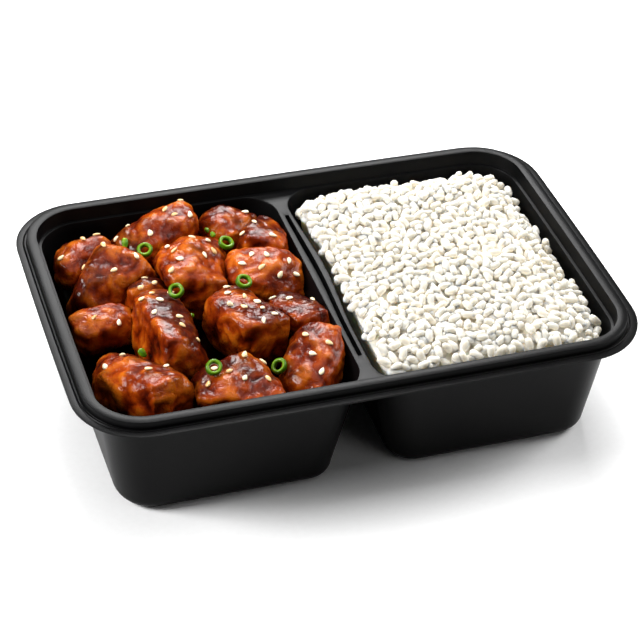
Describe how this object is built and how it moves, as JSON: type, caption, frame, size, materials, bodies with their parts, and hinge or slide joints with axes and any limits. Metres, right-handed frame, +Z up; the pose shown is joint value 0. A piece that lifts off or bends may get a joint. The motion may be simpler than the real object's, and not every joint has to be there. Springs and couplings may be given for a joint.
{
  "type": "bento box meal",
  "caption": "Black rectangular takeaway tray with two compartments: glazed chicken pieces with sesame and spring onion on the left, a mound of white rice on the right.",
  "frame": {"origin": "middle of the tray's base, on the surface it stands on", "axes": "+X along the tray's long side towards the rice, +Y from the near long side to the far one, +Z up"},
  "size_m": [0.2238, 0.15, 0.056],
  "materials": {
    "tray": "black thermoformed polypropylene with a satin skin",
    "chicken": "browned chicken under a wet red-brown soy glaze",
    "spring_onion": "fresh cut spring onion, moist",
    "rice": "steamed short-grain rice, slightly translucent and moist"
  },
  "bodies": {
    "root": {"tray": "tray", "rice": "rice", "chicken_far_left": "chicken", "chicken_left": "chicken", "chicken_back": "chicken", "chicken_back_inner": "chicken", "chicken_back_right": "chicken", "chicken_middle_back": "chicken", "chicken_right": "chicken", "chicken_small_dark": "chicken", "chicken_small_left": "chicken", "chicken_middle": "chicken", "chicken_middle_right": "chicken", "chicken_right_dark": "chicken", "chicken_front_left": "chicken", "chicken_front": "chicken", "chicken_front_right": "chicken", "chicken_lower_1_1": "chicken", "chicken_lower_1_2": "chicken", "chicken_lower_1_3": "chicken", "chicken_lower_2_1": "chicken", "chicken_lower_2_2": "chicken", "chicken_lower_2_3": "chicken", "chicken_lower_3_1": "chicken", "chicken_lower_3_2": "chicken", "chicken_lower_3_3": "chicken", "onion_ring_back": "spring_onion", "onion_ring_back_right": "spring_onion", "onion_ring_middle": "spring_onion", "onion_ring_right": "spring_onion", "onion_ring_front": "spring_onion", "onion_ring_front_right": "spring_onion", "onion_bit_back_left": "spring_onion", "onion_bit_back": "spring_onion", "onion_bit_back_near": "spring_onion", "onion_bit_middle": "spring_onion", "onion_bit_front_left": "spring_onion"}
  },
  "joints": []
}
